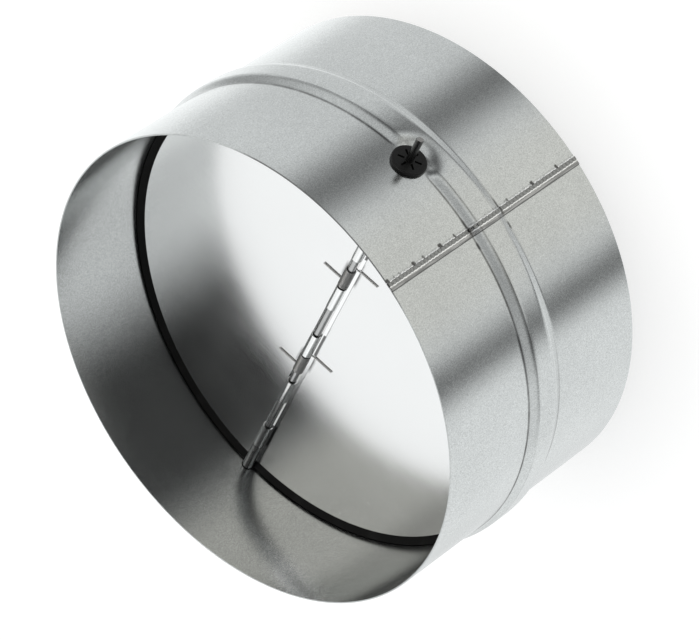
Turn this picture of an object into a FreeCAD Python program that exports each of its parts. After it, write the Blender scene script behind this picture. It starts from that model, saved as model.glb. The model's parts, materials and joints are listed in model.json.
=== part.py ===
"""Round duct backdraft damper with two sprung half-disc blades on one hinge pin.

The casing stands on its inlet rim. +Z is the way the air flows, +X runs along the hinge pin,
and the origin is the centre of the inlet rim. The blades are drawn closed, flat on the seal.
"""
import FreeCAD
import Part
import Sketcher
import math
import os

DRIVING_SIZES = [
    ("casing_diameter", 199.0, "outside of the spigots"),
    ("casing_length", 110.0, "inlet rim to outlet rim"),
    ("sheet_thickness", 0.6, "galvanised casing sheet"),
    ("bend_radius", 0.8, "inside radius of the band's bends"),
    ("band_centre", 54.8, "middle of the raised band above the inlet rim"),
    ("band_width", 18.4, "band from foot to foot"),
    ("band_height", 2.0, "band above the spigots"),
    ("band_flank", 4.4, "axial run of each sloped flank"),
    ("lap_width", 4.0, "welded overlap of the rolled sheet"),
    ("lap_height", 0.35, "overlap above the wall after the seam is pressed"),
    ("seam_angle", -20.0, "overlap from the +X pin end, in degrees"),
    ("hinge_lead", 1.0, "pin axis past the band's outlet-side foot"),
    ("seat_radius", 7.5, "flat pressed into the wall at each pin end"),
    ("seat_depth", 0.1, "flat below the spigot's outside"),
    ("seat_flare", 2.0, "run of the seat's sloped edge for each unit of rise"),
    ("pin_diameter", 3.0, "hinge pin"),
    ("pin_overhang", 12.0, "pin end beyond its bush"),
    ("pin_chamfer", 0.4, "pin end"),
    ("running_clearance", 0.05, "bush and spacer to pin, radial"),
    ("knuckle_clearance", 0.25, "rolled knuckle to pin, radial"),
    ("end_play", 0.3, "axial clearance between neighbours on the pin"),
    ("blade_thickness", 0.4, "blade sheet"),
    ("rim_gap", 3.2, "blade rim to casing wall"),
    ("lip_width", 1.3, "sloped lip along the blade's straight edge"),
    ("lip_standoff", 1.65, "lip's edge from the pin axis"),
    ("lip_bend", 0.4, "inside radius of the lip's fold"),
    ("knuckle_length", 13.0, "rolled knuckle along the pin"),
    ("knuckle_pitch", 31.0, "from one knuckle to the other blade's next"),
    ("knuckle_count", 3, "knuckles on each blade"),
    ("curl_sweep", 285.0, "turn of the rolled knuckle, in degrees"),
    ("wire_diameter", 0.6, "spring wire"),
    ("coil_turns", 14, "whole turns of each spring"),
    ("coil_gap", 0.12, "free space between turns"),
    ("coil_clearance", 0.15, "coil to pin, radial"),
    ("coil_lead", 0.6, "coil from the left blade's knuckle beside it"),
    ("leg_reach", 12.0, "spring leg from the pin axis"),
    ("leg_gap", 0.1, "spring leg above the blade"),
    ("notch_width", 1.2, "slot in the lip where a leg passes"),
    ("seal_clearance", 0.1, "seal to the band's inside"),
    ("seal_gap", 0.3, "seal face to closed blade"),
    ("seal_margin", 0.6, "seal's slope outside the blade's rim"),
    ("seal_overlap", 2.8, "seal lip under the blade's rim"),
    ("seal_edge", 1.2, "seal lip at its tip"),
    ("seal_root", 4.0, "seal lip at its root"),
    ("seal_proud", 0.4, "seal inside the casing wall"),
    ("flange_diameter", 14.2, "bush flange"),
    ("flange_thickness", 1.5, "bush flange"),
    ("flange_round", 0.6, "bush flange edge"),
    ("shank_diameter", 5.0, "bush in the wall"),
    ("shank_clearance", 0.05, "bush to the hole, radial"),
    ("shank_proud", 0.1, "bush inside the wall"),
    ("slit_count", 6, "slits in the bush flange"),
    ("slit_width", 0.9, "one slit"),
    ("slit_inner", 2.1, "slit's start from the pin axis"),
    ("slit_outer", 4.8, "slit's end from the pin axis"),
    ("slit_depth", 0.9, "slit into the flange"),
    ("spacer_diameter", 4.4, "sleeve that keeps the blades in the middle"),
    ("overcut", 1.0, "how far a cutting form runs past what it cuts"),
]

doc = FreeCAD.newDocument("backdraft_damper")
sizes = doc.addObject("Spreadsheet::Sheet", "sizes")
for row, (alias, value, meaning) in enumerate(DRIVING_SIZES, start=1):
    sizes.set(f"A{row}", alias)
    sizes.set(f"B{row}", str(value))
    sizes.set(f"C{row}", meaning)
    sizes.setAlias(f"B{row}", alias)
doc.recompute()

# Places worked out from the sheet, as expressions
OUTER = "(sizes.casing_diameter / 2)"
INNER = f"({OUTER} - sizes.sheet_thickness)"
BAND_LOW = "(sizes.band_centre - sizes.band_width / 2)"
BAND_HIGH = "(sizes.band_centre + sizes.band_width / 2)"
BEND_SHIFT = "((sqrt(sizes.band_flank ^ 2 + sizes.band_height ^ 2) - sizes.band_flank) / sizes.band_height)"
HINGE = f"({BAND_HIGH} + sizes.hinge_lead)"
SEAT_FACE = f"({OUTER} - sizes.seat_depth)"
SEAT_BACK = f"({SEAT_FACE} - sizes.sheet_thickness)"
PIN = "(sizes.pin_diameter / 2)"
BORE = f"({PIN} + sizes.running_clearance)"
KNUCKLE_BORE = f"({PIN} + sizes.knuckle_clearance)"
KNUCKLE = f"({KNUCKLE_BORE} + sizes.blade_thickness)"
WIRE = "(sizes.wire_diameter / 2)"
COIL = f"({PIN} + sizes.coil_clearance + {WIRE})"
COIL_PITCH = "(sizes.wire_diameter + sizes.coil_gap)"
COIL_LENGTH = f"(sizes.coil_turns * {COIL_PITCH})"
COIL_START = f"((sizes.knuckle_pitch + sizes.knuckle_length) / 2 + sizes.coil_lead + {WIRE})"
BLADE_TOP = f"(-{COIL} - {WIRE} - sizes.leg_gap)"
BLADE_UNDER = f"({BLADE_TOP} - sizes.blade_thickness)"
BLADE_RADIUS = f"({INNER} - sizes.rim_gap)"
LIP_RISE = f"(-{KNUCKLE_BORE} - {BLADE_TOP})"
LIP_SHIFT = (
    f"(sizes.blade_thickness * (sqrt(sizes.lip_width ^ 2 + {LIP_RISE} ^ 2) - sizes.lip_width) / {LIP_RISE})"
)
LIP_FOOT = "(sizes.lip_standoff + sizes.lip_width)"
LIP_JOIN = f"({LIP_FOOT} + 2 * sizes.blade_thickness)"
LIP_LENGTH = f"(2 * sqrt({BLADE_RADIUS} ^ 2 - {LIP_JOIN} ^ 2))"
SEAL_FACE = f"({HINGE} + {BLADE_UNDER} - sizes.seal_gap)"
BUSH_END = "(sizes.sheet_thickness + sizes.shank_proud)"
FIRST_KNUCKLE = "((3 / 2 - sizes.knuckle_count) * sizes.knuckle_pitch)"
LAST_KNUCKLE = "((sizes.knuckle_count - 1 / 2) * sizes.knuckle_pitch)"

ALONG_X = FreeCAD.Rotation(FreeCAD.Vector(0, 1, 0), 90)
AGAINST_X = FreeCAD.Rotation(FreeCAD.Vector(0, 1, 0), -90)
HALF_TURN = FreeCAD.Rotation(FreeCAD.Vector(0, 0, 1), 180)


def number(expression):
    """Value of an expression on the sheet."""
    return float(sizes.evalExpression(str(expression)))


def origin_feature(body, role):
    """Plane or axis of a body's own origin."""
    return next(item for item in body.Origin.OriginFeatures if item.Role == role)


def hold(sketch, kind, geometry, point, expression):
    """Holds a sketch point at a distance from the sketch's origin."""
    rule = Sketcher.Constraint(kind, -1, 1, geometry, point, number(expression))
    index = sketch.addConstraint(rule)
    name = f"{kind}{geometry}_{point}"
    sketch.renameConstraint(index, name)
    sketch.setExpression(f"Constraints.{name}", str(expression))


def new_sketch(body, plane, name, lift="0"):
    """Sketch on one of the body's own planes, moved along that plane's normal."""
    sketch = body.newObject("Sketcher::SketchObject", name)
    sketch.AttachmentSupport = [(origin_feature(body, plane), "")]
    sketch.MapMode = "FlatFace"
    sketch.setExpression("AttachmentOffset.Base.z", str(lift))
    return sketch


def outline(sketch, corners):
    """Adds a closed outline whose corners are held by expressions: x, y and, for a bend, its radius."""
    first = sketch.GeometryCount
    points = [FreeCAD.Vector(number(x), number(y), 0) for x, y, *_ in corners]
    count = len(points)
    for index in range(count):
        sketch.addGeometry(Part.LineSegment(points[index], points[(index + 1) % count]), False)
    for index in range(count):
        following = first + (index + 1) % count
        sketch.addConstraint(Sketcher.Constraint("Coincident", first + index, 2, following, 1))
    for index, (x, y, *_) in enumerate(corners):
        hold(sketch, "DistanceX", first + index, 1, x)
        hold(sketch, "DistanceY", first + index, 1, y)
    for index, (_, _, *bend) in enumerate(corners):
        if bend:
            round_corner(sketch, first, points, index, bend[0])


def round_corner(sketch, first, points, index, radius):
    """Turns one corner of an outline into a tangent arc and keeps the corner as a point."""
    corner = points[index]
    before = points[index - 1]
    after = points[(index + 1) % len(points)]
    near_before = corner + (before - corner).normalize() * number(radius) / 2
    near_after = corner + (after - corner).normalize() * number(radius) / 2
    edge_before = first + (index - 1) % len(points)
    arc = sketch.GeometryCount
    sketch.fillet(edge_before, first + index, near_before, near_after, number(radius), True, True)
    rule = sketch.addConstraint(Sketcher.Constraint("Radius", arc, number(radius)))
    sketch.renameConstraint(rule, f"bend{arc}")
    sketch.setExpression(f"Constraints.bend{arc}", str(radius))


def turned(name, corners, angle="360"):
    """Body turned about its own Z from corners given as radius and height."""
    body = doc.addObject("PartDesign::Body", name)
    sketch = new_sketch(body, "XZ_Plane", f"{name}_profile")
    outline(sketch, corners)
    spun = body.newObject("PartDesign::Revolution", f"{name}_turned")
    spun.Profile = sketch
    spun.ReferenceAxis = (origin_feature(body, "Z_Axis"), [""])
    spun.setExpression("Angle", str(angle))
    doc.recompute()
    return body


def pad(body, sketch, name, length, symmetric=False):
    """Pad of a sketch along its normal."""
    feature = body.newObject("PartDesign::Pad", name)
    feature.Profile = sketch
    feature.setExpression("Length", str(length))
    feature.Midplane = symmetric
    doc.recompute()
    return feature


def combine(kind, name, base, tools):
    """Cut or fuse of one object with several others."""
    if kind == "cut":
        result = doc.addObject("Part::Cut", name)
        result.Base = base
        result.Tool = tools[0]
        if len(tools) > 1:
            group = doc.addObject("Part::MultiFuse", f"{name}_tools")
            group.Shapes = tools
            result.Tool = group
    else:
        result = doc.addObject("Part::MultiFuse", name)
        result.Shapes = [base] + tools
    result.Refine = True
    return result


def lay_on_pin(item, distance, rotation=ALONG_X):
    """Turns an item onto the hinge axis, at a distance along X."""
    item.Placement.Rotation = rotation
    item.setExpression("Placement.Base.x", str(distance))
    item.setExpression("Placement.Base.z", HINGE)


# Casing: rolled sheet with a raised band, a lapped seam and a flat seat at each pin end
def skin(offset):
    """Four band corners of the wall's outside, moved outwards by an offset, with their bends."""
    shift = f"(({offset}) * {BEND_SHIFT})"
    low = f"({OUTER} + ({offset}))"
    high = f"({low} + sizes.band_height)"
    foot_bend = f"(sizes.bend_radius - ({offset}))"
    top_bend = f"(sizes.bend_radius + sizes.sheet_thickness + ({offset}))"
    return [
        (low, f"({BAND_LOW} - {shift})", foot_bend),
        (high, f"({BAND_LOW} + sizes.band_flank - {shift})", top_bend),
        (high, f"({BAND_HIGH} - sizes.band_flank + {shift})", top_bend),
        (low, f"({BAND_HIGH} + {shift})", foot_bend),
    ]


def drum(name, offset, past_rims):
    """Solid drum with the band: the casing's outside, or the room inside it."""
    band = skin(offset)
    radius = band[0][0]
    bottom = f"(-{past_rims})"
    top = f"(sizes.casing_length + {past_rims})"
    return turned(name, [("0", bottom), (radius, bottom), *band, (radius, top), ("0", top)])


def make_lap():
    """Strip of the overlapping sheet that stands out of the wall along the seam."""
    body = doc.addObject("PartDesign::Body", "casing_lap")
    outer_face = skin("sizes.lap_height")
    inner_face = skin("-sizes.sheet_thickness / 2")
    sketch = new_sketch(body, "XZ_Plane", "casing_lap_profile")
    outline(
        sketch,
        [
            (inner_face[0][0], "0"),
            (outer_face[0][0], "0"),
            *outer_face,
            (outer_face[0][0], "sizes.casing_length"),
            (inner_face[0][0], "sizes.casing_length"),
            *reversed(inner_face),
        ],
    )
    pad(body, sketch, "casing_lap_strip", "sizes.lap_width", symmetric=True)
    body.setExpression("Placement.Rotation.Angle", "sizes.seam_angle")
    return body


def seat_cone(name, face, radius, side):
    """Cone that presses a flat seat into the wall at one pin end."""
    cone = doc.addObject("Part::Cone", name)
    height = "(sizes.band_height + sizes.sheet_thickness + sizes.overcut)"
    cone.setExpression("Radius1", radius)
    cone.setExpression("Radius2", f"({radius} + sizes.seat_flare * {height})")
    cone.setExpression("Height", height)
    sign = "" if side == "upper" else "-"
    lay_on_pin(cone, f"{sign}{face}", ALONG_X if side == "upper" else AGAINST_X)
    return cone


SIDES = ("upper", "lower")
outside = drum("casing_outside", "0", "0")
inside = drum("casing_inside", "-sizes.sheet_thickness", "sizes.overcut")
lap = make_lap()

SEAT_SHIFT = "(sizes.sheet_thickness * (sqrt(1 + sizes.seat_flare ^ 2) - sizes.seat_flare))"
INNER_SEAT = f"(sizes.seat_radius + {SEAT_SHIFT})"
outer_seats = [seat_cone(f"{side}_seat_outside", SEAT_FACE, "sizes.seat_radius", side) for side in SIDES]
inner_seats = [seat_cone(f"{side}_seat_inside", SEAT_BACK, INNER_SEAT, side) for side in SIDES]
pressed_outside = combine("cut", "pressed_outside", outside, outer_seats)
pressed_inside = combine("cut", "pressed_inside", inside, inner_seats)
lapped_outside = combine("fuse", "lapped_outside", pressed_outside, [lap])

bush_holes = doc.addObject("Part::Cylinder", "bush_holes")
bush_holes.setExpression("Radius", "sizes.shank_diameter / 2 + sizes.shank_clearance")
bush_holes.setExpression("Height", "sizes.casing_diameter + 2 * sizes.overcut")
lay_on_pin(bush_holes, f"(-{OUTER} - sizes.overcut)")
casing = combine("cut", "casing", lapped_outside, [pressed_inside, bush_holes])

# Seal: rubber ring that fills the band's inside, slopes down to the blades' rims and has a lip under them
seal_skin = skin("-(sizes.sheet_thickness + sizes.seal_clearance)")
SEAL_INNER = f"({INNER} - sizes.seal_proud)"
SEAL_TIP = f"({BLADE_RADIUS} - sizes.seal_overlap)"
seal_round = turned(
    "seal_round",
    [
        seal_skin[0][:2],
        seal_skin[1][:2],
        seal_skin[2][:2],
        seal_skin[3][:2],
        (f"({BLADE_RADIUS} + sizes.seal_margin)", SEAL_FACE),
        (SEAL_TIP, SEAL_FACE),
        (SEAL_TIP, f"({SEAL_FACE} - sizes.seal_edge)"),
        (SEAL_INNER, f"({SEAL_FACE} - sizes.seal_root)"),
        (SEAL_INNER, seal_skin[0][1]),
    ],
)
seal_seats = [
    seat_cone(
        f"{side}_seat_seal",
        f"({SEAT_BACK} - sizes.seal_clearance)",
        f"({INNER_SEAT} + sizes.seal_clearance)",
        side,
    )
    for side in SIDES
]
seal_ring = combine("cut", "seal_ring", seal_round, [*seal_seats, bush_holes])

# Hinge pin: one rod through both walls
PIN_HALF = f"({SEAT_FACE} + sizes.flange_thickness + sizes.pin_overhang)"
PIN_NECK = f"({PIN} - sizes.pin_chamfer)"
hinge_pin = turned(
    "hinge_pin",
    [
        ("0", f"(-{PIN_HALF})"),
        (PIN_NECK, f"(-{PIN_HALF})"),
        (PIN, f"(-{PIN_HALF} + sizes.pin_chamfer)"),
        (PIN, f"({PIN_HALF} - sizes.pin_chamfer)"),
        (PIN_NECK, PIN_HALF),
        ("0", PIN_HALF),
    ],
)
lay_on_pin(hinge_pin, "0")


# Bushes: moulded flanged bearings, one at each pin end
def make_bush(name, side):
    """Flanged bush with slits round its bore, sitting on the casing's flat seat."""
    shank = "(sizes.shank_diameter / 2)"
    flange = "(sizes.flange_diameter / 2)"
    top = "sizes.flange_thickness"
    body = turned(
        name,
        [
            (BORE, f"(-{BUSH_END})"),
            (shank, f"(-{BUSH_END})"),
            (shank, "0"),
            (flange, "0"),
            (flange, top, "sizes.flange_round"),
            (BORE, top),
        ],
    )
    sketch = new_sketch(body, "XY_Plane", f"{name}_slit_outline", top)
    half = "(sizes.slit_width / 2)"
    outline(
        sketch,
        [
            ("sizes.slit_inner", f"(-{half})"),
            ("sizes.slit_outer", f"(-{half})"),
            ("sizes.slit_outer", half),
            ("sizes.slit_inner", half),
        ],
    )
    slit = body.newObject("PartDesign::Pocket", f"{name}_slit")
    slit.Profile = sketch
    slit.setExpression("Length", "sizes.slit_depth")
    doc.recompute()
    ring = body.newObject("PartDesign::PolarPattern", f"{name}_slits")
    ring.Originals = [slit]
    ring.Axis = (origin_feature(body, "Z_Axis"), [""])
    ring.Angle = 360
    ring.setExpression("Occurrences", "sizes.slit_count")
    body.Tip = ring
    sign = "" if side == "upper" else "-"
    lay_on_pin(body, f"{sign}{SEAT_FACE}", ALONG_X if side == "upper" else AGAINST_X)
    return body


bushes = [make_bush(f"{side}_bush", side) for side in SIDES]

# Spacer sleeves: from each bush to the last knuckle
SPACER_START = f"({LAST_KNUCKLE} + sizes.knuckle_length / 2 + sizes.end_play)"
SPACER_END = f"({SEAT_FACE} - {BUSH_END} - sizes.end_play)"
SPACER_RADIUS = "(sizes.spacer_diameter / 2)"
spacers = []
for side in SIDES:
    sleeve = turned(
        f"{side}_spacer",
        [
            (BORE, SPACER_START),
            (SPACER_RADIUS, SPACER_START),
            (SPACER_RADIUS, SPACER_END),
            (BORE, SPACER_END),
        ],
    )
    lay_on_pin(sleeve, "0", ALONG_X if side == "upper" else AGAINST_X)
    spacers.append(sleeve)


# Blades: one stamping used twice, the second turned half round about the duct axis
def blade_rim(sketch):
    """Outline of the flat: an arc about the duct axis, closed where the lip's strip joins."""
    radius = number(BLADE_RADIUS)
    fold = number(LIP_JOIN)
    start = math.asin(fold / radius)
    circle = Part.Circle(FreeCAD.Vector(0, 0, 0), FreeCAD.Vector(0, 0, 1), radius)
    sketch.addGeometry(Part.ArcOfCircle(circle, start, math.pi - start), False)
    half = radius * math.cos(start)
    left = FreeCAD.Vector(-half, fold, 0)
    right = FreeCAD.Vector(half, fold, 0)
    sketch.addGeometry(Part.LineSegment(left, right), False)
    sketch.addConstraint(Sketcher.Constraint("Coincident", 0, 3, -1, 1))
    sketch.addConstraint(Sketcher.Constraint("Coincident", 0, 2, 1, 1))
    sketch.addConstraint(Sketcher.Constraint("Coincident", 1, 2, 0, 1))
    sketch.addConstraint(Sketcher.Constraint("Horizontal", 1))
    size = sketch.addConstraint(Sketcher.Constraint("Radius", 0, radius))
    sketch.renameConstraint(size, "rim")
    sketch.setExpression("Constraints.rim", BLADE_RADIUS)
    hold(sketch, "DistanceY", 1, 1, LIP_JOIN)


def make_blade(name):
    """Half-disc blade on the +Y side, with its pin axis on the body's own X."""
    body = doc.addObject("PartDesign::Body", name)
    flat = new_sketch(body, "XY_Plane", f"{name}_rim", BLADE_UNDER)
    blade_rim(flat)
    pad(body, flat, f"{name}_flat", "sizes.blade_thickness")

    lip = new_sketch(body, "YZ_Plane", f"{name}_lip_profile")
    outline(
        lip,
        [
            (LIP_JOIN, BLADE_UNDER),
            (LIP_JOIN, BLADE_TOP),
            (LIP_FOOT, BLADE_TOP, "sizes.lip_bend"),
            ("sizes.lip_standoff", f"(-{KNUCKLE_BORE})"),
            (f"(sizes.lip_standoff + {LIP_SHIFT})", f"(-{KNUCKLE})"),
            (f"({LIP_FOOT} + {LIP_SHIFT})", BLADE_UNDER, "sizes.lip_bend + sizes.blade_thickness"),
        ],
    )
    pad(body, lip, f"{name}_lip", LIP_LENGTH, symmetric=True)

    tab = new_sketch(body, "YZ_Plane", f"{name}_tab_profile", FIRST_KNUCKLE)
    outline(
        tab,
        [
            ("0", f"(-{KNUCKLE})"),
            (f"(sizes.lip_standoff + {LIP_SHIFT})", f"(-{KNUCKLE})"),
            ("sizes.lip_standoff", f"(-{KNUCKLE_BORE})"),
            ("0", f"(-{KNUCKLE_BORE})"),
        ],
    )
    tab_pad = pad(body, tab, f"{name}_tab", "sizes.knuckle_length", symmetric=True)

    curl = new_sketch(body, "XZ_Plane", f"{name}_curl_profile")
    left = f"({FIRST_KNUCKLE} - sizes.knuckle_length / 2)"
    right = f"({FIRST_KNUCKLE} + sizes.knuckle_length / 2)"
    outline(
        curl,
        [
            (left, f"(-{KNUCKLE})"),
            (right, f"(-{KNUCKLE})"),
            (right, f"(-{KNUCKLE_BORE})"),
            (left, f"(-{KNUCKLE_BORE})"),
        ],
    )
    rolled = body.newObject("PartDesign::Revolution", f"{name}_curl")
    rolled.Profile = curl
    rolled.ReferenceAxis = (origin_feature(body, "X_Axis"), [""])
    rolled.setExpression("Angle", "sizes.curl_sweep")
    rolled.Reversed = True
    doc.recompute()

    row = body.newObject("PartDesign::LinearPattern", f"{name}_knuckles")
    row.Originals = [tab_pad, rolled]
    row.Direction = (origin_feature(body, "X_Axis"), [""])
    row.setExpression("Length", f"{LAST_KNUCKLE} - {FIRST_KNUCKLE}")
    row.setExpression("Occurrences", "sizes.knuckle_count")
    body.Tip = row
    doc.recompute()

    notch = new_sketch(body, "XY_Plane", f"{name}_notch_outline", f"(-{KNUCKLE_BORE})")
    half = "(sizes.notch_width / 2)"
    for place in (COIL_START, f"(-{COIL_START} - {COIL_LENGTH})"):
        outline(
            notch,
            [
                (f"({place} - {half})", "(sizes.lip_standoff - sizes.overcut / 2)"),
                (f"({place} + {half})", "(sizes.lip_standoff - sizes.overcut / 2)"),
                (f"({place} + {half})", f"({LIP_FOOT} + {LIP_SHIFT})"),
                (f"({place} - {half})", f"({LIP_FOOT} + {LIP_SHIFT})"),
            ],
        )
    slots = body.newObject("PartDesign::Pocket", f"{name}_notches")
    slots.Profile = notch
    slots.setExpression("Length", f"(-{BLADE_UNDER} - {KNUCKLE_BORE} + sizes.overcut)")
    doc.recompute()
    return body


left_blade = make_blade("left_blade")
left_blade.setExpression("Placement.Base.z", HINGE)
right_blade = make_blade("right_blade")
right_blade.setExpression("Placement.Base.z", HINGE)
right_blade.Placement.Rotation = HALF_TURN


# Springs: close-wound coils on the pin, one leg on each blade
STEPS_PER_TURN = 16
WIRE_SIDES = 8


def spring_path():
    """Centre line of the wire: the left blade's leg, the coil, and the right blade's leg."""
    radius = number(COIL)
    start = number(COIL_START)
    reach = number("sizes.leg_reach")
    steps = round(number("sizes.coil_turns")) * STEPS_PER_TURN
    step_along = number(COIL_PITCH) / STEPS_PER_TURN
    leg_along = number(COIL_PITCH) * reach / (2 * math.pi * radius)
    points = [FreeCAD.Vector(start - leg_along, reach, -radius)]
    for step in range(steps + 1):
        turn = 2 * math.pi * step / STEPS_PER_TURN
        along = start + step * step_along
        points.append(FreeCAD.Vector(along, -radius * math.sin(turn), -radius * math.cos(turn)))
    points.append(FreeCAD.Vector(start + steps * step_along + leg_along, -reach, -radius))
    return points


def make_spring(name, rotation):
    """Torsion spring drawn on the +X half of the pin, then turned to its place."""
    points = spring_path()
    forward = (points[1] - points[0]).normalize()
    upward = FreeCAD.Vector(0, 0, 1)
    sideways = forward.cross(upward)
    ring = []
    for corner in range(WIRE_SIDES + 1):
        turn = 2 * math.pi * (corner + 0.5) / WIRE_SIDES
        spoke = upward * math.cos(turn) + sideways * math.sin(turn)
        ring.append(points[0] + spoke * number(WIRE))
    sweep = Part.BRepOffsetAPI.MakePipeShell(Part.makePolygon(points))
    right_corners = 1
    sweep.setTransitionMode(right_corners)
    sweep.add(Part.makePolygon(ring))
    sweep.build()
    sweep.makeSolid()
    spring = doc.addObject("Part::Feature", name)
    spring.Shape = sweep.shape()
    spring.Placement = FreeCAD.Placement(FreeCAD.Vector(0, 0, number(HINGE)), rotation)
    return spring


upper_spring = make_spring("upper_spring", FreeCAD.Rotation())
lower_spring = make_spring("lower_spring", HALF_TURN)

# Check every object, then write one file for each sub-part
doc.recompute()
for item in doc.Objects:
    if "Invalid" in item.State or "Error" in item.State:
        raise RuntimeError(f"{item.Name} failed: {item.State}")

sub_parts = [
    casing, seal_ring, hinge_pin, *bushes, *spacers,
    left_blade, right_blade, upper_spring, lower_spring,
]
os.makedirs("parts", exist_ok=True)
for item in sub_parts:
    shape = item.Shape
    if shape.isNull() or not shape.isValid() or len(shape.Solids) != 1:
        raise RuntimeError(f"{item.Label} is not one sound solid")
    box = shape.BoundBox
    print(f"{item.Label}: {shape.Volume:.1f} mm3, height {box.ZMin:.2f} to {box.ZMax:.2f}")
for item in sub_parts:
    item.Shape.exportStep(f"parts/{item.Label}.step")
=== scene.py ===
# %% [markdown]
# A backdraft damper sits in a round duct. Air from below pushes two half-disc blades open, and two
# springs close them again, so the air can't flow back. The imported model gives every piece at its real
# size, and this lesson gives the pieces their surfaces: sheet metal, a welded seam, wire and rubber.

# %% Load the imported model
import json
import math

import bpy
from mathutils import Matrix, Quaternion, Vector


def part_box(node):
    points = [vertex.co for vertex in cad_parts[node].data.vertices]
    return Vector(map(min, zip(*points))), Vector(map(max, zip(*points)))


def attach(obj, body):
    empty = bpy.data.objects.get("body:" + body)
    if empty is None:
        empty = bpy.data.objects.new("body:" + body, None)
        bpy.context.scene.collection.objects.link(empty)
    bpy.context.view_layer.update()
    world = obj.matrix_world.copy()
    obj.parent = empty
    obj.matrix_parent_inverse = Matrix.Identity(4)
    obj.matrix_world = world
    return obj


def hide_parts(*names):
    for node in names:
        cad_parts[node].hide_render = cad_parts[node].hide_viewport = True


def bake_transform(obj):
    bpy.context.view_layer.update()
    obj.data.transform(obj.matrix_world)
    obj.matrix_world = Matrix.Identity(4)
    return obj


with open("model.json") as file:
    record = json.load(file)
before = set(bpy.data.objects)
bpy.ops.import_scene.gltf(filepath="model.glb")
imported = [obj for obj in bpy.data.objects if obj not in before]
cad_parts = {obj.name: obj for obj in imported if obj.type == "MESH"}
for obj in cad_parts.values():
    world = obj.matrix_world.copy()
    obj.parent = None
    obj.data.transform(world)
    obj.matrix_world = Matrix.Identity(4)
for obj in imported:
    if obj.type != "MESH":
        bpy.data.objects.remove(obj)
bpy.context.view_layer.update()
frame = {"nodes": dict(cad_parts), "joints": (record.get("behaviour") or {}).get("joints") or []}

MM = 0.001
nodes = frame["nodes"]
print("pieces in the packed model:", ", ".join(sorted(nodes)))

# %% [markdown]
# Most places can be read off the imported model: the casing's box gives its length and the radius of its
# raised band, and the joints give the pin's height. All of them could be typed in again, but then the
# finishes would slip off the pieces when the model changes. Only sizes that no box shows are typed.

# %% Measure the frame
casing_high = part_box("casing")[1]
CASING_LENGTH = casing_high.z
BAND_RADIUS = casing_high.x
BAND_HEIGHT = 2 * MM
SPIGOT_RADIUS = BAND_RADIUS - BAND_HEIGHT
SHEET = 0.6 * MM
PIN_HEIGHT = frame["joints"][0]["pos_m"][2]
PIN_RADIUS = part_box("hinge_pin")[1].y
PIN_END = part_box("hinge_pin")[1].x
BAND_CENTRE = 54.8 * MM
BAND_WIDTH = 18.4 * MM
BAND_FLANK = 4.4 * MM
INLET_FOOT = BAND_CENTRE - BAND_WIDTH / 2
OUTLET_FOOT = BAND_CENTRE + BAND_WIDTH / 2
SEAT_RADIUS = 7.5 * MM
SEAT_MARGIN = 4 * MM
SEAT_DEPTH = 0.1 * MM
SEAT_FACE = SPIGOT_RADIUS - SEAT_DEPTH
SEAM_ANGLE = math.radians(-20)
LAP_WIDTH = 4 * MM
LAP_HEIGHT = 0.35 * MM
print(f"casing {2000 * SPIGOT_RADIUS:.1f} mm across, {1000 * CASING_LENGTH:.1f} mm long")
print(f"pin {2000 * PIN_RADIUS:.1f} mm thick, {1000 * PIN_HEIGHT:.1f} mm above the inlet rim")

# %% [markdown]
# Node trees are sums and products with wires between them. Written as boxes they take a page, so one
# small class wraps a socket and lets Python's own operators add the boxes. A second class adds any
# other node by its type, its settings and what goes into its sockets.


# %% Sockets that add up like numbers
class Wire:
    """One output of a node; arithmetic on it adds Math nodes to the same tree."""

    def __init__(self, graph, socket):
        self.graph = graph
        self.socket = socket

    def __getitem__(self, name):
        return Wire(self.graph, self.socket.node.outputs[name])

    def math(self, operation, *others):
        return self.graph.math(operation, self, *others)

    def __add__(self, other):
        return self.math("ADD", other)

    def __sub__(self, other):
        return self.math("SUBTRACT", other)

    def __rsub__(self, other):
        return self.graph.math("SUBTRACT", other, self)

    def __mul__(self, other):
        return self.math("MULTIPLY", other)

    def __truediv__(self, other):
        return self.math("DIVIDE", other)

    def __abs__(self):
        return self.math("ABSOLUTE")

    __radd__ = __add__
    __rmul__ = __mul__

    def least(self, other, soft):
        """The smaller of two values, with a rounded corner where they meet."""
        return self.math("SMOOTH_MIN", other, soft)

    def most(self, other, soft=0.0):
        """The larger of two values, with a rounded corner where soft is given."""
        return self.math("SMOOTH_MAX", other, soft) if soft else self.math("MAXIMUM", other)

    def ramp(self, low, high):
        """0 below low, 1 above high and a smooth step between them; low may be the larger."""
        settings = {"interpolation_type": "SMOOTHSTEP"}
        return self.graph.node("ShaderNodeMapRange", settings, {0: self, 1: low, 2: high})

    def near(self, centre, half, soft):
        """1 within half of a centre, 0 outside, with a soft border."""
        return abs(self - centre).ramp(half + soft, half - soft)


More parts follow.
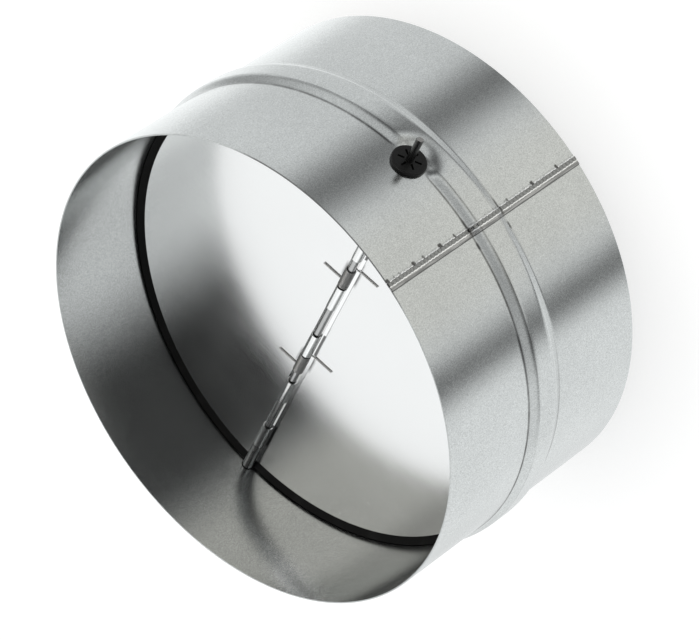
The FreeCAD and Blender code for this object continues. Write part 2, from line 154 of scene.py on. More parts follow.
class Graph:
    """A node tree that grows by expressions."""

    def __init__(self, tree):
        self.tree = tree

    def node(self, kind, settings=None, sockets=None):
        """Adds a node of any type and returns the first output that it shows."""
        made = self.tree.nodes.new(kind)
        for name, value in (settings or {}).items():
            setattr(made, name, value)
        for name, value in (sockets or {}).items():
            self.feed(made.inputs[name], value)
        return Wire(self, next(socket for socket in made.outputs if socket.enabled))

    def feed(self, socket, value):
        if isinstance(value, Wire):
            self.tree.links.new(value.socket, socket)
        else:
            socket.default_value = value

    def math(self, operation, *values):
        return self.node("ShaderNodeMath", {"operation": operation}, dict(enumerate(values)))

    def vector(self, x, y, z):
        return self.node("ShaderNodeCombineXYZ", None, {0: x, 1: y, 2: z})

    def parts(self, vector):
        split = self.node("ShaderNodeSeparateXYZ", None, {0: vector})
        return split["X"], split["Y"], split["Z"]

    def mix(self, factor, first, second):
        """Colour between two colours."""
        return self.node("ShaderNodeMix", {"data_type": "RGBA"}, {0: factor, 6: first, 7: second})

    def noise(self, place, size, detail=2.0, roughness=0.5):
        """Noise from 0 to 1 with features of about that size, in metres."""
        sockets = {"Vector": place, "Scale": 1 / size, "Detail": detail, "Roughness": roughness}
        return self.node("ShaderNodeTexNoise", None, sockets)

    def stretched(self, place, along):
        """Coordinates squeezed along X, Y or Z, so that noise on them turns to streaks."""
        return self.node("ShaderNodeMapping", None, {"Vector": place, "Scale": along})


class Finish(Graph):
    """A material with one Principled shader."""

    def __init__(self, name, **plain):
        self.material = bpy.data.materials.new(name)
        self.material.use_nodes = True
        super().__init__(self.material.node_tree)
        self.shader = self.tree.nodes["Principled BSDF"]
        self.set(**plain)
        self.place = self.node("ShaderNodeTexCoord")["Object"]

    def set(self, **values):
        """Sets the shader's sockets, named with _ for a space, to numbers, colours or wires."""
        for socket, value in values.items():
            self.feed(self.shader.inputs[socket.replace("_", " ")], value)

    def bump(self, height, depth):
        """Small relief; depth is in metres."""
        sockets = {"Height": height, "Distance": depth}
        self.set(Normal=self.node("ShaderNodeBump", None, sockets))


def grey(level, warm=0.0):
    """Neutral colour, a little warmer or cooler."""
    return (level * (1 + warm), level, level * (1 - warm), 1.0)


print("wires and graphs ready")

# %% [markdown]
# The casing is hot-dip galvanised sheet: a zinc skin with a fine grain, bright but never a mirror.
# Painted shade darkens the bends of its band. Welding left a dark track of nuggets, bright ragged
# borders where the zinc ran, a dull strip to the lap's edge and burnt spots beside it. The nugget crowns
# carry painted highlights, painted shadow lines run along the lap's edge and beside the track, and
# painted shade sits in the dents where the band is pinched at the seam. A painted image could hold these
# marks, but it needs an unrolled map of the wall. Here each mark is a rule on two numbers that any point
# of the wall has: how far round it is from the lap's middle, and how high up.

# %% Galvanised sheet
NUGGET_PITCH = 2 * MM
TRACK = 0.75 * MM
TRACK_HALF = 0.85 * MM
TRACK_FADE = 0.12 * MM
TRACK_RAGGED = 0.55 * MM
TRACK_WAIST = 0.18 / MM
BORDER = 0.22 * MM
STRIP = -1.2 * MM
STRIP_HALF = 0.7 * MM
LAP_EDGE = -1.95 * MM
BURN_AND_SHADOW_LINE = 2.2 * MM
BEND_LINE = 0.12 * MM
# Sector round the wall where the painted shade in the band's bends is deeper.
SHADE_SECTOR_MIDDLE = -125 * MM
SHADE_SECTOR_HALF = 55 * MM
DARK_RIM_MIDDLE = 35 * MM
DARK_RIM_HALF = 42 * MM
ZINC_DARK = (0.45, 0.461, 0.459, 1.0)
ZINC_LIGHT = (0.68, 0.697, 0.693, 1.0)


def from_pin_axis(y, height):
    """Distance from the pin's axis, seen along the pin."""
    rise = height - PIN_HEIGHT
    return (y * y + rise * rise).math("SQRT")


def band_bend_shade(zinc, across, y, z):
    """Share of painted shade in the band's bends: dark at its two feet, thin along the edges of its top.
    """
    patchiness = zinc.noise(zinc.place, 7 * MM, detail=3.0).ramp(0.3, 0.62)
    deeper_shade = across.near(SHADE_SECTOR_MIDDLE, SHADE_SECTOR_HALF, 25 * MM)
    outlet_foot = z.near(OUTLET_FOOT, 0.4 * MM, 0.25 * MM) * (0.3 + deeper_shade * 0.4 + patchiness * 0.28)
    inlet_foot = z.near(INLET_FOOT, 0.45 * MM, 0.4 * MM) * (0.12 + deeper_shade * 0.5 + patchiness * 0.12)
    outlet_edge = z.near(OUTLET_FOOT - BAND_FLANK, BEND_LINE, BEND_LINE) * patchiness * 0.45
    inlet_edge = z.near(INLET_FOOT + BAND_FLANK, BEND_LINE, BEND_LINE) * patchiness * 0.35
    off_seat = from_pin_axis(y, z).ramp(SEAT_RADIUS, SEAT_RADIUS + SEAT_MARGIN)
    return (outlet_foot + inlet_foot + outlet_edge + inlet_edge) * off_seat


def weld_track(zinc, across, z):
    """Shares of the weld's track, of the painted shade between its nugget crowns, which leaves each
    crown lighter as a painted highlight, and of the bright zinc along its borders.
    """
    speckle = zinc.noise(zinc.place, 0.6 * MM, detail=3.0)
    ragged = (zinc.noise(zinc.place, 0.9 * MM, detail=3.0) - 0.5) * TRACK_RAGGED
    from_nugget = NUGGET_PITCH / 2 - z.math("PINGPONG", NUGGET_PITCH / 2)
    waist = from_nugget * from_nugget * TRACK_WAIST
    outside_track = abs(across - TRACK) + waist + ragged - TRACK_HALF
    track = outside_track.ramp(TRACK_FADE, -TRACK_FADE) * (0.5 + speckle * 0.5)
    off_crown_shade = from_nugget.ramp(0.2 * MM, 0.9 * MM)
    borders = outside_track.near(BORDER, 0.2 * MM, 0.1 * MM) * speckle.ramp(0.34, 0.48)
    return track, off_crown_shade, borders


def burnt_spots(zinc, across, z):
    """Share of the burnt spots, strung along a line beside the track."""
    burns = zinc.noise(zinc.vector(0.0, 0.0, z), 3.0 * MM, detail=1.0).ramp(0.53, 0.64)
    return burns * across.near(BURN_AND_SHADOW_LINE, 0.35 * MM + burns * (0.5 * MM), 0.3 * MM)


def pinched_bend_shade(across, z):
    """Shares of painted shade in the dents where the band is pinched at the seam: creases beside it and
    blots on it.
    """
    crease_shade = z.near(INLET_FOOT, 0.5 * MM, 0.4 * MM) + z.near(OUTLET_FOOT, 0.5 * MM, 0.4 * MM)
    pinches = across.near(2.5 * MM, 3.2 * MM, 2.2 * MM) + across.near(-6 * MM, 1.4 * MM, 0.8 * MM)
    blot_shade = z.near(INLET_FOOT, 0.6 * MM, 0.6 * MM) + z.near(OUTLET_FOOT, 1.0 * MM, 1.0 * MM)
    return crease_shade * pinches, blot_shade * across.near(0.2 * MM, 1.5 * MM, 0.8 * MM)


def marked_zinc(zinc, colour):
    """Colour of the zinc with painted shade in the band's bends, the weld's marks with their painted
    highlights and shadow lines, and painted shade in the pinched bends beside the seam.
    """
    x, y, z = zinc.parts(zinc.place)
    across = (y.math("ARCTAN2", x) - SEAM_ANGLE) * SPIGOT_RADIUS
    streaks = zinc.noise(zinc.stretched(zinc.place, (1.0, 1.0, 0.04)), 0.4 * MM, detail=2.0)
    strip = zinc.mix(streaks.ramp(0.35, 0.7), grey(0.22), grey(0.46))
    track, off_crown_shade, borders = weld_track(zinc, across, z)
    crease_shade, blot_shade = pinched_bend_shade(across, z)
    cut_edge = z.ramp(CASING_LENGTH - 0.3 * MM, CASING_LENGTH - 0.1 * MM)
    cut_edge = cut_edge * across.near(DARK_RIM_MIDDLE, DARK_RIM_HALF, 8 * MM)
    for share, mark in (
        # Painted shade in the band's bends, darkest at its two feet.
        (band_bend_shade(zinc, across, y, z), grey(0.1, 0.02)),
        (cut_edge * 0.9, grey(0.1)),
        # A thin painted shadow line beside the track, along the line of the burnt spots.
        (across.near(BURN_AND_SHADOW_LINE, 0.2 * MM, 0.3 * MM) * 0.35, grey(0.2)),
        (across.near(STRIP, STRIP_HALF, 0.2 * MM), strip),
        # The track is lighter at each nugget's crown, a painted highlight, and darker between the
        # crowns.
        (track, zinc.mix(off_crown_shade, grey(0.17), grey(0.08, 0.02))),
        (borders, grey(0.95)),
        # A painted shadow line along the lap's edge, where the proud strip steps down to the wall.
        (across.near(LAP_EDGE, 0.2 * MM, 0.12 * MM) * 0.85, grey(0.07)),
        (burnt_spots(zinc, across, z) * 0.9, grey(0.05, 0.05)),
        # Painted shade in the dents where the band is pinched at the seam.
        (crease_shade * 0.85, grey(0.08)),
        (blot_shade * 0.75, grey(0.06, 0.02)),
    ):
        colour = zinc.mix(share, colour, mark)
    return colour


def galvanised_sheet():
    zinc = Finish("galvanised_sheet", Metallic=1.0)
    grain = zinc.noise(zinc.place, 0.5 * MM, detail=3.0, roughness=0.7)
    mottle = zinc.noise(zinc.place, 2.5 * MM, detail=3.0, roughness=0.6)
    cloud = zinc.noise(zinc.place, 40 * MM, detail=2.0)
    tone = grain * 0.78 + mottle * 0.1 + cloud * 0.12
    colour = zinc.mix(tone.ramp(0.32, 0.68), ZINC_DARK, ZINC_LIGHT)
    zinc.set(Base_Color=marked_zinc(zinc, colour), Roughness=0.14 + tone * 0.1)
    zinc.bump(grain, 0.008 * MM)
    return zinc.material


ZINC = galvanised_sheet()
print("made", ZINC.name)

# %% [markdown]
# The blades are bright rolled sheet, close to a mirror. A plain mirror would look like glass, so noise
# gives them a haze of fine rolling lines and the very slight waviness of thin sheet. Along the hinge,
# painted shade darkens the fold of each blade's lip and the roots of its own knuckles, and a painted
# dark reflection of the spring's coil lies beside them. The two blades are one stamping turned half
# round, so one rule places these marks on both.

# %% Bright blade sheet
KNUCKLE_PITCH = 31 * MM
KNUCKLE_HALF = 6.5 * MM
KNUCKLE_ROOT = 2.6 * MM
LIP_FOOT = 2.95 * MM
SPRING_MIDDLE = 28 * MM
SPRING_REFLECTION_HALF = 4 * MM
SPRING_REFLECTION_NEAR = 3.0 * MM
SPRING_REFLECTION_FAR = 4.6 * MM
HINGE_SHADE = grey(0.06, 0.02)


def hinge_painted_shade(sheet):
    """Share of painted shade along the hinge: in the lip's fold and at the knuckles' roots, with a
    painted reflection of the springs.
    """
    x, y, _ = sheet.parts(sheet.place)
    from_pin = abs(y)
    turned = x * y.math("SIGN") - KNUCKLE_PITCH / 2
    from_own = turned.math("PINGPONG", KNUCKLE_PITCH)
    own = from_own.ramp(KNUCKLE_HALF + 0.3 * MM, KNUCKLE_HALF - 0.3 * MM)
    fold = from_pin.near(LIP_FOOT, 0.12 * MM, 0.12 * MM) * 0.55
    root = own * from_pin.near(KNUCKLE_ROOT, 0.5 * MM, 0.25 * MM) * 0.9
    # A painted dark reflection of the spring's coil on the blade beside it.
    spring_reflection = abs(x).near(SPRING_MIDDLE, SPRING_REFLECTION_HALF, 2 * MM) * from_pin.ramp(SPRING_REFLECTION_FAR, SPRING_REFLECTION_NEAR)
    spring_reflection = spring_reflection * from_pin.ramp(LIP_FOOT, LIP_FOOT + 0.1 * MM) * 0.7
    return fold.most(root).most(spring_reflection)


def blade_sheet():
    sheet = Finish("blade_sheet", Metallic=1.0)
    lines = sheet.noise(sheet.stretched(sheet.place, (1.0, 0.02, 1.0)), 0.5 * MM, detail=2.0)
    haze = sheet.noise(sheet.place, 22 * MM, detail=3.0)
    wave = sheet.noise(sheet.place, 70 * MM, detail=0.0)
    specks = sheet.noise(sheet.place, 0.7 * MM, detail=1.0).ramp(0.78, 0.84)
    clean = sheet.mix(haze * 0.7 + lines * 0.3, grey(0.88), grey(0.93))
    sheet.set(
        # The hinge marks are painted shade and a painted reflection of the springs.
        Base_Color=sheet.mix(hinge_painted_shade(sheet), clean, HINGE_SHADE),
        Roughness=0.12 + haze * 0.08 + lines * 0.06 + specks * 0.12,
    )
    sheet.bump(wave, 0.2 * MM)
    return sheet.material


BRIGHT = blade_sheet()
print("made", BRIGHT.name)

# %% [markdown]
# The small pieces have plainer finishes: drawn steel for the pin, with rings of painted shade beside the
# knuckles and dull ends outside the wall, then spring wire, a moulded black bush and a matte rubber
# ring. One flat colour each would be quicker, but it looks like nothing real, so each has its grain.

# %% Steel, wire, plastic and rubber
KNUCKLE_END = KNUCKLE_PITCH / 2 + KNUCKLE_HALF
GAP_LENGTH = KNUCKLE_PITCH - 2 * KNUCKLE_HALF
KNUCKLE_SHADE_FULL = 0.6 * MM
KNUCKLE_SHADE_EDGE = 1.0 * MM
PIN_SHADE = grey(0.03, 0.05)


def drawn_steel():
    steel = Finish("pin_steel", Metallic=1.0)
    lines = steel.noise(steel.stretched(steel.place, (0.03, 1.0, 1.0)), 0.25 * MM, detail=2.0)
    stain = steel.noise(steel.place, 6 * MM, detail=3.0)
    along = steel.parts(steel.place)[0]
    outside = abs(along).ramp(SPIGOT_RADIUS, SPIGOT_RADIUS + 1 * MM)
    cut_end = abs(along).ramp(PIN_END - 0.15 * MM, PIN_END - 0.05 * MM)
    from_knuckle = (along - KNUCKLE_END).math("FLOORED_MODULO", KNUCKLE_PITCH)
    before_next = from_knuckle.near(GAP_LENGTH, 0.1 * MM, 0.15 * MM)
    # Rings of painted shade on the pin beside each knuckle's end.
    knuckle_shade = from_knuckle.ramp(KNUCKLE_SHADE_EDGE, KNUCKLE_SHADE_FULL).most(before_next)
    bright = steel.mix(stain * 0.6 + lines * 0.4, grey(0.4), grey(0.58))
    bright = steel.mix(knuckle_shade * 0.92, bright, PIN_SHADE)
    dull = steel.mix(stain, grey(0.1, 0.02), grey(0.2))
    steel.set(
        Base_Color=steel.mix(outside, bright, steel.mix(cut_end, dull, grey(0.4, 0.02))),
        Roughness=0.2 + lines * 0.15,
    )
    return steel.material


def spring_wire():
    wire = Finish("spring_steel", Metallic=1.0)
    patch = wire.noise(wire.place, 1.2 * MM, detail=3.0)
    wire.set(
        Base_Color=wire.mix(patch, grey(0.24, 0.02), grey(0.42, 0.01)),
        Roughness=0.24 + patch * 0.16,
    )
    return wire.material


def moulded_plastic():
    plastic = Finish("bush_plastic", Specular_IOR_Level=0.22)
    grain = plastic.noise(plastic.place, 0.4 * MM, detail=3.0)
    plastic.set(
        Base_Color=plastic.mix(grain, grey(0.008), grey(0.016)),
        Roughness=0.3 + grain * 0.18,
    )
    plastic.bump(grain, 0.02 * MM)
    return plastic.material


def seal_rubber():
    rubber = Finish("seal_rubber", Specular_IOR_Level=0.12)
    grain = rubber.noise(rubber.place, 0.5 * MM, detail=4.0)
    dust = rubber.noise(rubber.place, 9 * MM, detail=3.0)
    rubber.set(
        Base_Color=rubber.mix(dust.ramp(0.45, 0.8), grey(0.004), grey(0.01)),
        Roughness=0.5 + grain * 0.25,
    )
    rubber.bump(grain, 0.04 * MM)
    return rubber.material


STEEL = drawn_steel()
WIRE = spring_wire()
PLASTIC = moulded_plastic()
RUBBER = seal_rubber()
for node, finish in {
    "hinge_pin": STEEL,
    "upper_spacer": STEEL,
    "lower_spacer": STEEL,
    "upper_bush": PLASTIC,
    "lower_bush": PLASTIC,
    "seal_ring": RUBBER,
    "left_blade": BRIGHT,
    "right_blade": BRIGHT,
}.items():
    nodes[node].data.materials.clear()
    nodes[node].data.materials.append(finish)
    print(node, "is", finish.name)

# %% [markdown]
# Geometry Nodes build what follows a rule. A tree needs named inputs, a modifier that carries it, and
# a last step that turns the result into a plain mesh, because the export only knows plain meshes.


# %% Trees that become meshes
class Pattern(Graph):
    """A Geometry Nodes tree with named inputs."""

    def __init__(self, name, **inputs):
        super().__init__(bpy.data.node_groups.new(name, "GeometryNodeTree"))
        self.values = {}
        for label, value in inputs.items():
            kind = "NodeSocketInt" if isinstance(value, int) else "NodeSocketFloat"
            title = label.replace("_", " ").capitalize()
            made = self.tree.interface.new_socket(title, in_out="INPUT", socket_type=kind)
            self.values[made.identifier] = value
        self.tree.interface.new_socket("Mesh", in_out="OUTPUT", socket_type="NodeSocketGeometry")
        entry = self.tree.nodes.new("NodeGroupInput")
        for label, socket in zip(inputs, entry.outputs):
            setattr(self, label, Wire(self, socket))

    def placed(self, geometry, place):
        """Moves every point of a geometry to its place."""
        sockets = {"Geometry": geometry, "Position": place}
        return self.node("GeometryNodeSetPosition", None, sockets)

    def mesh(self, geometry, finish):
        """Realizes the tree, gives it its finish and returns it as a plain mesh object."""
        solid = self.node("GeometryNodeRealizeInstances", None, {0: geometry})
        sockets = {"Geometry": solid, "Shade Smooth": True}
        solid = self.node("GeometryNodeSetShadeSmooth", None, sockets)
        solid = self.node("GeometryNodeSetMaterial", None, {"Geometry": solid, "Material": finish})
        self.feed(self.tree.nodes.new("NodeGroupOutput").inputs[0], solid)
        name = self.tree.name
        carrier = bpy.data.objects.new(name, bpy.data.meshes.new(name))
        bpy.context.scene.collection.objects.link(carrier)
        modifier = carrier.modifiers.new(name, "NODES")
        modifier.node_group = self.tree
        for identifier, value in self.values.items():
            modifier[identifier] = value
        return settle(carrier)


def settle(piece):
    """Applies a piece's modifiers and returns it as a plain mesh object."""
    depsgraph = bpy.context.evaluated_depsgraph_get()
    mesh = bpy.data.meshes.new_from_object(piece.evaluated_get(depsgraph))
    piece.modifiers.clear()
    piece.data = mesh
    mesh.name = piece.name
    return piece


def count(piece):
    """One line about a finished piece."""
    piece.data.calc_loop_triangles()
    print(f"{piece.name}: {len(piece.data.loop_triangles)} triangles")


print("patterns ready")

# %% [markdown]
# The casing wall is rolled sheet and follows one rule: a radius for each height. Spinning a profile
# would do for the round part. But at each pin end the wall is pressed flat, so that the bush has a
# seat, and the band's flank fades out there. So the wall starts as a flat grid whose rows are heights
# and whose columns are angles, and the rule puts each point in its place. Rows crowd together at the
# raised band, where the sheet bends.

# %% Casing wall
FINE_LOW = INLET_FOOT - 3 * MM
FINE_HIGH = PIN_HEIGHT + SEAT_RADIUS + SEAT_MARGIN
WALL_FINE_SHARE = 0.84
FOOT_SOFTNESS = 0.22
TOP_SOFTNESS = 0.4
SEAT_SLOPE = 0.5
SEAT_SOFTNESS = 2.4 * MM
LEAST_SOFTNESS = 0.3 * MM
SEAM_GAP = 0.01 * MM
CUT_EDGE = 0.12 * MM


def wall_radius(height):
    """Outside radius of the sheet at a height."""
    from_foot = (BAND_WIDTH / 2 - abs(height - BAND_CENTRE)) / BAND_FLANK
    rise = from_foot.least(1.0, TOP_SOFTNESS).most(0.0, FOOT_SOFTNESS)
    return rise * BAND_HEIGHT + SPIGOT_RADIUS


def wall_place(tree, angle, height, lift=0.0):
    """Point of the sheet's outside at an angle and height, lifted off it by a little."""
    bare = wall_radius(height)
    softness = (bare - SPIGOT_RADIUS) * (SEAT_SOFTNESS / BAND_HEIGHT) + LEAST_SOFTNESS
    radius = bare + lift
    x = radius * angle.math("COSINE")
    y = radius * angle.math("SINE")
    off_seat = (from_pin_axis(y, height) - SEAT_RADIUS).most(0.0)
    pressed = abs(x).least(off_seat * SEAT_SLOPE + SEAT_FACE, softness)
    return tree.vector(pressed * x.math("SIGN"), y, height)


def grid(tree):
    """Flat grid of the tree's columns and rows, with the two shares from 0 to 1 at each point."""
    sockets = {"Size X": 1.0, "Size Y": 1.0, "Vertices X": tree.columns, "Vertices Y": tree.rows}
    mesh = tree.node("GeometryNodeMeshGrid", None, sockets)
    across, along, _ = tree.parts(tree.node("GeometryNodeInputPosition"))
    return mesh, across + 0.5, along + 0.5


def stretch(tree, share, start, stop, length):
    """Grows from 0 to a length while the share goes from start to stop."""
    sockets = {0: share, 1: start, 2: stop, 4: length}
    return tree.node("ShaderNodeMapRange", {"clamp": True}, sockets)


def crowded(tree, share, fine_share):
    """Height at a share of the rows, with most rows in the fine stretch round the band."""
    low_share = (1 - fine_share) / 2
    high_share = 1 - low_share
    below = stretch(tree, share, 0.0, low_share, FINE_LOW)
    fine = stretch(tree, share, low_share, high_share, FINE_HIGH - FINE_LOW)
    above = stretch(tree, share, high_share, 1.0, CASING_LENGTH - FINE_HIGH)
    return below + fine + above


def casing_wall():
    tree = Pattern("casing_wall", columns=361, rows=97)
    flat, across, along = grid(tree)
    angle = across * (2 * math.pi) + SEAM_ANGLE
    height = crowded(tree, along, WALL_FINE_SHARE)
    rolled = tree.placed(flat, wall_place(tree, angle, height))
    sockets = {"Geometry": rolled, "Distance": SEAM_GAP}
    wall = tree.mesh(tree.node("GeometryNodeMergeByDistance", None, sockets), ZINC)
    thicken = wall.modifiers.new("sheet", "SOLIDIFY")
    thicken.thickness = SHEET
    thicken.offset = -1.0
    thicken.use_even_offset = True
    edge = wall.modifiers.new("cut edge", "BEVEL")
    edge.width = CUT_EDGE
    edge.segments = 2
    edge.limit_method = "ANGLE"
    edge.angle_limit = math.radians(50)
    edge.harden_normals = True
    return settle(wall)


wall = casing_wall()
count(wall)
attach(wall, "casing")
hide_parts("casing")

# %% [markdown]
# The sheet is rolled round and its ends lap over each other. The upper end shows as a strip a fraction
# of a millimetre proud of the wall, and a seam welder has run along it, leaving a chain of nuggets.
# The nuggets could be left to the finish, but light catches their crowns, so they are shapes. Strip and
# nuggets use the wall's own rule, so both climb over the raised band with it, and the first and last
# nuggets stay clear of the rims.

# %% Lapped and welded seam
LAP_FINE_SHARE = 0.7
LAP_SUNK = SHEET / 4
FIRST_NUGGET = 1.5
NUGGET_STRAY = 0.1 * MM
NUGGET_SIZE = (0.12 * MM, TRACK_HALF, 1.5 * MM)


def lap_strip():
    tree = Pattern("casing_lap", columns=25, rows=121, width=LAP_WIDTH, height=LAP_HEIGHT)
    flat, across, along = grid(tree)
    from_middle = across - 0.5
    angle = from_middle * tree.width / SPIGOT_RADIUS + SEAM_ANGLE
    proud = abs(from_middle).ramp(0.5, 0.46)
    lift = proud * (tree.height + LAP_SUNK) - LAP_SUNK
    height = crowded(tree, along, LAP_FINE_SHARE)
    return tree.mesh(tree.placed(flat, wall_place(tree, angle, height, lift)), ZINC)


def weld_nuggets():
    tree = Pattern("casing_weld", pitch=NUGGET_PITCH, seed=7)
    total = round(CASING_LENGTH / NUGGET_PITCH - 2 * FIRST_NUGGET) + 1
    chain = tree.node("GeometryNodeMeshLine", None, {"Count": total})
    height = (tree.node("GeometryNodeInputIndex") + FIRST_NUGGET) * tree.pitch
    limits = {2: -NUGGET_STRAY, 3: NUGGET_STRAY, "Seed": tree.seed}
    stray = tree.node("FunctionNodeRandomValue", {"data_type": "FLOAT"}, limits)
    angle = (stray + TRACK) / SPIGOT_RADIUS + SEAM_ANGLE
    chain = tree.placed(chain, wall_place(tree, angle, height, LAP_HEIGHT))
    ball = tree.node("GeometryNodeMeshUVSphere", None, {"Segments": 16, "Rings": 10, "Radius": 1.0})
    sockets = {"Points": chain, "Instance": ball, "Rotation": (0, 0, SEAM_ANGLE), "Scale": NUGGET_SIZE}
    return tree.mesh(tree.node("GeometryNodeInstanceOnPoints", None, sockets), ZINC)


for piece in (lap_strip(), weld_nuggets()):
    count(piece)
    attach(piece, "casing")

# %% [markdown]
# Each torsion spring is a close coil on the pin with one leg on each blade. When a blade opens, its leg
# goes with it and the coil twists. Each spring is made as two half coils, each from the coil's middle
# to one leg.

# %% Torsion springs
WIRE_RADIUS = 0.3 * MM
WIRE_SIDES = 10
COIL_PLAY = 0.15 * MM
COIL_RADIUS = PIN_RADIUS + COIL_PLAY + WIRE_RADIUS
COIL_PITCH = 0.72 * MM
COIL_STEPS = 40
HALF_TURNS = 7
HALF_LENGTH = HALF_TURNS * COIL_PITCH
COIL_START = 22.9 * MM
COIL_MIDDLE = COIL_START + HALF_LENGTH
LEG_REACH = 12 * MM
LEG_SLANT = COIL_PITCH * LEG_REACH / (2 * math.pi * COIL_RADIUS)


def half_spring(name, end, side):
    """Half a coil from its middle to its leg; end is -1 or 1 along the coil, side turns it about Z."""
    sizes = {"pitch": COIL_PITCH, "coil": COIL_RADIUS, "wire": WIRE_RADIUS}
    tree = Pattern(name, turns=HALF_TURNS, steps=COIL_STEPS, **sizes)
    last = tree.turns * tree.steps
    line = tree.node("GeometryNodeMeshLine", None, {"Count": last + 2})
    index = tree.node("GeometryNodeInputIndex")
    turn = index / tree.steps
    angle = turn * (2 * math.pi * end)
    along = turn * tree.pitch * end + COIL_MIDDLE
    across = tree.coil * angle.math("SINE") * -1.0
    up = tree.coil * angle.math("COSINE") * -1.0 + PIN_HEIGHT
    coil = tree.placed(line, tree.vector(along * side, across * side, up))
    leg_end = COIL_MIDDLE + end * (HALF_LENGTH + LEG_SLANT)
    tip = tree.vector(side * leg_end, -side * end * LEG_REACH, PIN_HEIGHT - COIL_RADIUS)
    beyond = tree.node("FunctionNodeCompare", {"data_type": "FLOAT"}, {0: index, 1: last + 0.5})
    sockets = {"Geometry": coil, "Selection": beyond, "Position": tip}
    bent = tree.node("GeometryNodeSetPosition", None, sockets)
    path = tree.node("GeometryNodeMeshToCurve", None, {"Mesh": bent})
    sockets = {"Resolution": WIRE_SIDES, "Radius": tree.wire}
    section = tree.node("GeometryNodeCurvePrimitiveCircle", None, sockets)
    sockets = {"Curve": path, "Profile Curve": section, "Fill Caps": True}
    return tree.mesh(tree.node("GeometryNodeCurveToMesh", None, sockets), WIRE)


for spring, side in (("upper_spring", 1), ("lower_spring", -1)):
    for end in (-1, 1):
        hand = "left" if side * end < 0 else "right"
        half = half_spring(f"{spring}_{hand}_half", end, side)
        count(half)
        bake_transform(half)
        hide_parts(spring)

# %% [markdown]
# The damper stands on its inlet rim on a pale floor. Lamps strong enough to turn a floor white would
# wash out the metal, so the floor shows the camera a little light of its own and keeps the shadow.
# Reflections don't see it, so the metal shows the panels of the studio all round.

# %% Floor
FLOOR_SIZE = 40.0
FLOOR_GLOW = grey(0.64)


def pale_floor():
    paper = Finish("floor_paper", Roughness=0.9, Emission_Strength=1.0)
    seen = paper.node("ShaderNodeLightPath")["Is Camera Ray"]
    paper.set(
        Base_Color=paper.mix(paper.noise(paper.place, 0.8), grey(0.48), grey(0.5)),
        Emission_Color=paper.mix(seen, grey(0.0), FLOOR_GLOW),
    )
    mesh = bpy.data.meshes.new("floor")
    half = FLOOR_SIZE / 2
    corners = [(-half, -half, 0), (half, -half, 0), (half, half, 0), (-half, half, 0)]
    mesh.from_pydata(corners, [], [(0, 1, 2, 3)])
    mesh.materials.append(paper.material)
    floor = bpy.data.objects.new("floor", mesh)
    bpy.context.scene.collection.objects.link(floor)
    floor.visible_glossy = False
    floor.visible_shadow = False
    return floor


pale_floor()
print("floor laid")

# %% [markdown]
# Bare metal shows its surroundings. Lamps alone would leave black between them, so the surroundings
# are a plain white studio made in the world's nodes: white panels with a few soft dark gaps, as in a
# light tent, placed by their azimuth in degrees and by their height, from -1 below to 1 above. One
# soft lamp from above adds to them.

# %% Studio light
PANEL_LEVEL = 0.92
WHITE = (1.0, 1.0, 1.0, 1.0)
COOL = (0.978, 0.998, 1.0, 1.0)
WARM_BELOW = (1.0, 1.0, 0.955, 1.0)
WARM_ABOVE = (1.0, 0.995, 0.925, 1.0)


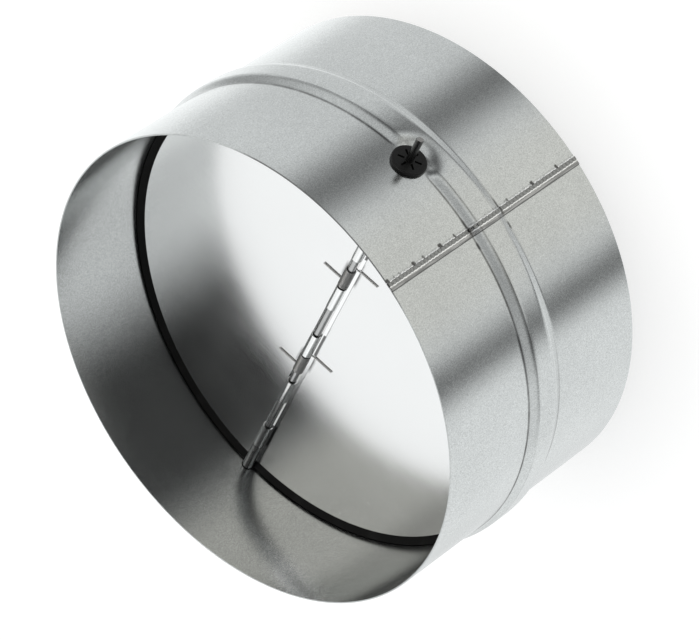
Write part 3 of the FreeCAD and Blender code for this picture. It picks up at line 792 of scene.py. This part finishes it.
def studio():
    """White surroundings with a dark camera side, dark gaps and panels of other levels."""
    world = bpy.data.worlds.new("studio")
    world.use_nodes = True
    sky = Graph(world.node_tree)
    x, y, height = sky.parts(sky.node("ShaderNodeTexCoord")["Generated"])
    azimuth = y.math("ARCTAN2", x) * (180 / math.pi)

    def sector(centre, half, soft):
        """1 inside a sector of azimuths, 0 outside."""
        turned = (azimuth - centre).math("WRAP", 180.0, -180.0)
        return abs(turned).ramp(half + soft, half - soft)

    above = height.ramp(0.28, 0.5)
    below = height.ramp(0.15, -0.1)
    camera_side = azimuth.ramp(-100, -48) * azimuth.ramp(50, 2)
    camera_side = camera_side * height.ramp(0.05, 0.3) * height.ramp(0.98, 0.85)
    left_side = sector(84, 50, 16) * above
    left_end = sector(112, 18, 12) * above
    behind = sector(162, 26, 12) * above
    gaps = (sector(-72.5, 8, 9) * 0.84 + sector(30, 12, 12) * 0.76) * below
    stand = sector(-52, 16, 12) * height.near(-0.12, 0.2, 0.12)
    horizon = height.near(-0.22, 0.12, 0.1) * (1 - sector(-145, 38, 18))
    nadir = height.ramp(-0.88, -0.97)
    flank = sector(140, 25, 14) * below
    right = sector(-120, 42, 16) * below
    lip_panel = sector(-157, 14, 8) * above
    level = PANEL_LEVEL + behind * 0.08 + flank * 0.33 + right * 0.17 + lip_panel * 0.22
    for shade, depth in (
        (camera_side, 0.97),
        (left_side, 0.36),
        (left_end, 0.4),
        (gaps, 1.0),
        (horizon, 0.5),
        (stand, 0.6),
        (nadir, 0.12),
    ):
        level = level * (1 - shade * depth)
    tint = sky.mix(sector(-24, 28, 14) * below, COOL, WARM_BELOW)
    tint = sky.mix(sector(80, 62, 16) * above, tint, WARM_ABOVE)
    ray = sky.node("ShaderNodeLightPath")["Is Camera Ray"]
    background = sky.tree.nodes["Background"]
    sky.feed(background.inputs["Color"], sky.mix(ray, tint, WHITE))
    sky.feed(background.inputs["Strength"], level * (1 - ray) + ray)
    return world


def direction(azimuth, elevation):
    """Unit vector from the damper towards an azimuth and elevation in degrees."""
    turn = math.radians(azimuth)
    lift = math.radians(elevation)
    return Vector((math.cos(turn) * math.cos(lift), math.sin(turn) * math.cos(lift), math.sin(lift)))


def lamp(name, azimuth, elevation, distance, size, power):
    """Square soft lamp that looks at the middle of the damper."""
    away = direction(azimuth, elevation)
    data = bpy.data.lights.new(name, "AREA")
    data.size = size
    data.energy = power
    made = bpy.data.objects.new(name, data)
    made.location = away * distance + Vector((0, 0, CASING_LENGTH / 2))
    made.rotation_mode = "QUATERNION"
    made.rotation_quaternion = away.to_track_quat("Z", "Y")
    bpy.context.scene.collection.objects.link(made)


bpy.context.scene.world = studio()
lamp("top_lamp", azimuth=100, elevation=75, distance=1.8, size=1.2, power=12)
print("studio lit")

# %% [markdown]
# The photograph is taken with a long lens from in front of the outlet, and the picture is turned, so
# the duct's axis points down to the left. The camera could be placed by coordinates, but angles round
# the damper are easier to read and to correct.

# %% Camera
CAMERA_AZIMUTH = -17.8
CAMERA_ELEVATION = 38.5
CAMERA_DISTANCE = 1.702
CAMERA_ROLL = 124.4
CAMERA_AIM = Vector((-1.42, -5.3, 54.66)) * MM
CAMERA_LENS = 226.3


def camera():
    back = direction(CAMERA_AZIMUTH, CAMERA_ELEVATION)
    data = bpy.data.cameras.new("camera")
    data.lens = CAMERA_LENS
    made = bpy.data.objects.new("camera", data)
    made.location = CAMERA_AIM + back * CAMERA_DISTANCE
    made.rotation_mode = "QUATERNION"
    upright = back.to_track_quat("Z", "Y")
    made.rotation_quaternion = upright @ Quaternion((0, 0, 1), math.radians(-CAMERA_ROLL))
    bpy.context.scene.collection.objects.link(made)
    return made


bpy.context.scene.camera = camera()
bpy.context.scene.view_settings.view_transform = "Standard"
print("camera placed")
